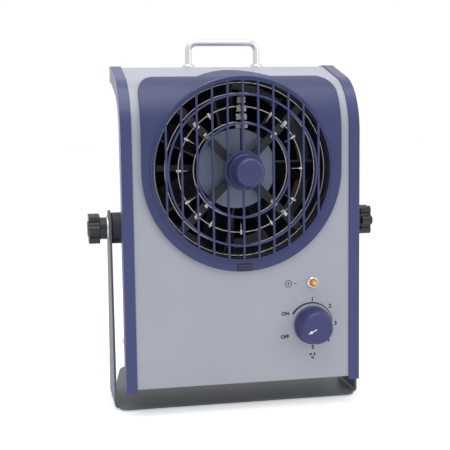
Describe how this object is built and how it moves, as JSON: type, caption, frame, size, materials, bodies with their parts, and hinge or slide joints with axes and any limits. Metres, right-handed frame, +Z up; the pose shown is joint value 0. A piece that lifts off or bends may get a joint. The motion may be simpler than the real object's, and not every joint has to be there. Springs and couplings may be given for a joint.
{
  "type": "ionizing blower",
  "caption": "Bench ionizing blower with a round grilled outlet, emitter rings, fan, cleaning brush, speed dial and carry handle, tilting on a U-shaped sheet stand.",
  "frame": {"origin": "Centre of the stand's base, on the surface that it rests on", "axes": "+X to the right of the outlet, the outlet faces -Y, +Z up"},
  "size_m": [0.2762, 0.2158, 0.3463],
  "materials": {
    "stand_paint": "dark grey-blue textured powder coat",
    "rubber_black": "moulded black rubber",
    "panel_grey": "light grey satin enamel",
    "panel_blue": "violet-blue satin enamel",
    "plastic_blue": "violet-blue moulded plastic",
    "plastic_black": "black moulded plastic",
    "wire_steel": "bright drawn wire",
    "knob_blue": "violet-blue moulded plastic",
    "shaft_steel": "ground steel",
    "bristle_white": "white nylon bristle",
    "hub_label": "satin aluminium disc",
    "motor_core": "varnished laminations and windings",
    "zinc_steel": "zinc-plated steel",
    "guard_black": "black coated wire",
    "filter_foam": "black open-cell foam",
    "pointer_white": "white printed mark",
    "bright_metal": "polished plating",
    "lens_amber": "amber lens",
    "spacer_grey": "dark grey coated metal",
    "potting_black": "black potted block",
    "board_green": "green circuit board with parts",
    "contact_brass": "brass"
  },
  "bodies": {
    "stand": {"stand_bracket": "stand_paint", "base_pad": "rubber_black"},
    "fan": {"fan_rotor": "plastic_black", "hub_cap": "hub_label", "motor_shaft": "shaft_steel"},
    "cleaner": {"cleaner_knob": "knob_blue", "cleaner_shaft": "shaft_steel", "brush_arm": "plastic_black", "brush_tufts": "bristle_white"},
    "dial": {"dial_shaft": "shaft_steel", "dial_knob": "knob_blue", "dial_pointer": "pointer_white"},
    "left_clamp": {"left_clamp_knob": "plastic_black", "left_clamp_stud": "shaft_steel", "left_clamp_washer": "zinc_steel"},
    "right_clamp": {"right_clamp_knob": "plastic_black", "right_clamp_stud": "shaft_steel", "right_clamp_washer": "zinc_steel"},
    "head": {"front_panel": "panel_grey", "rear_cover": "panel_grey", "left_side_panel": "panel_blue", "right_side_panel": "panel_blue", "grille_bezel": "plastic_blue", "outlet_grille": "plastic_blue", "grille_latch": "plastic_black", "air_duct": "plastic_black", "emitter_frame": "plastic_black", "guard_rings": "wire_steel", "emitter_ring": "wire_steel", "needle_sockets": "wire_steel", "emitter_needles": "wire_steel", "wire_clips": "wire_steel", "knob_collar": "plastic_black", "fan_frame": "plastic_black", "fan_motor": "motor_core", "motor_bearings": "shaft_steel", "fan_screws": "zinc_steel", "fan_standoffs": "zinc_steel", "rear_guard": "guard_black", "inlet_filter": "filter_foam", "guard_screws": "zinc_steel", "speed_switch": "plastic_black", "switch_nut": "zinc_steel", "lamp_bezel": "bright_metal", "lamp_lens": "lens_amber", "carry_handle": "bright_metal", "handle_ferrules": "bright_metal", "handle_nuts": "zinc_steel", "pivot_spacers": "spacer_grey", "pivot_nuts": "zinc_steel", "side_screws": "zinc_steel", "high_voltage_module": "potting_black", "mains_transformer": "motor_core", "control_board": "board_green", "board_standoffs": "zinc_steel", "power_inlet": "plastic_black", "inlet_pins": "contact_brass", "inlet_screws": "zinc_steel", "earth_stud": "contact_brass", "earth_nut": "contact_brass"}
  },
  "joints": [
    {"name": "head_tilt", "type": "hinge", "parent": "stand", "child": "head", "pos_m": [0, -0.047, 0.1693], "axis": [1, 0, 0], "range_deg": [-45, 60]},
    {"name": "fan_spin", "type": "hinge", "parent": "head", "child": "fan", "pos_m": [0, -0.059, 0.2239], "axis": [0, 1, 0], "continuous": true},
    {"name": "cleaner_turn", "type": "hinge", "parent": "head", "child": "cleaner", "pos_m": [0, -0.121, 0.2239], "axis": [0, 1, 0], "continuous": true},
    {"name": "speed_dial_turn", "type": "hinge", "parent": "head", "child": "dial", "pos_m": [0.0649, -0.111, 0.0782], "axis": [0, 1, 0], "range_deg": [0, 300]},
    {"name": "left_clamp_turn", "type": "hinge", "parent": "head", "child": "left_clamp", "pos_m": [-0.127, -0.047, 0.1693], "axis": [-1, 0, 0], "range_deg": [-180, 180]},
    {"name": "right_clamp_turn", "type": "hinge", "parent": "head", "child": "right_clamp", "pos_m": [0.127, -0.047, 0.1693], "axis": [1, 0, 0], "range_deg": [-180, 180]}
  ]
}
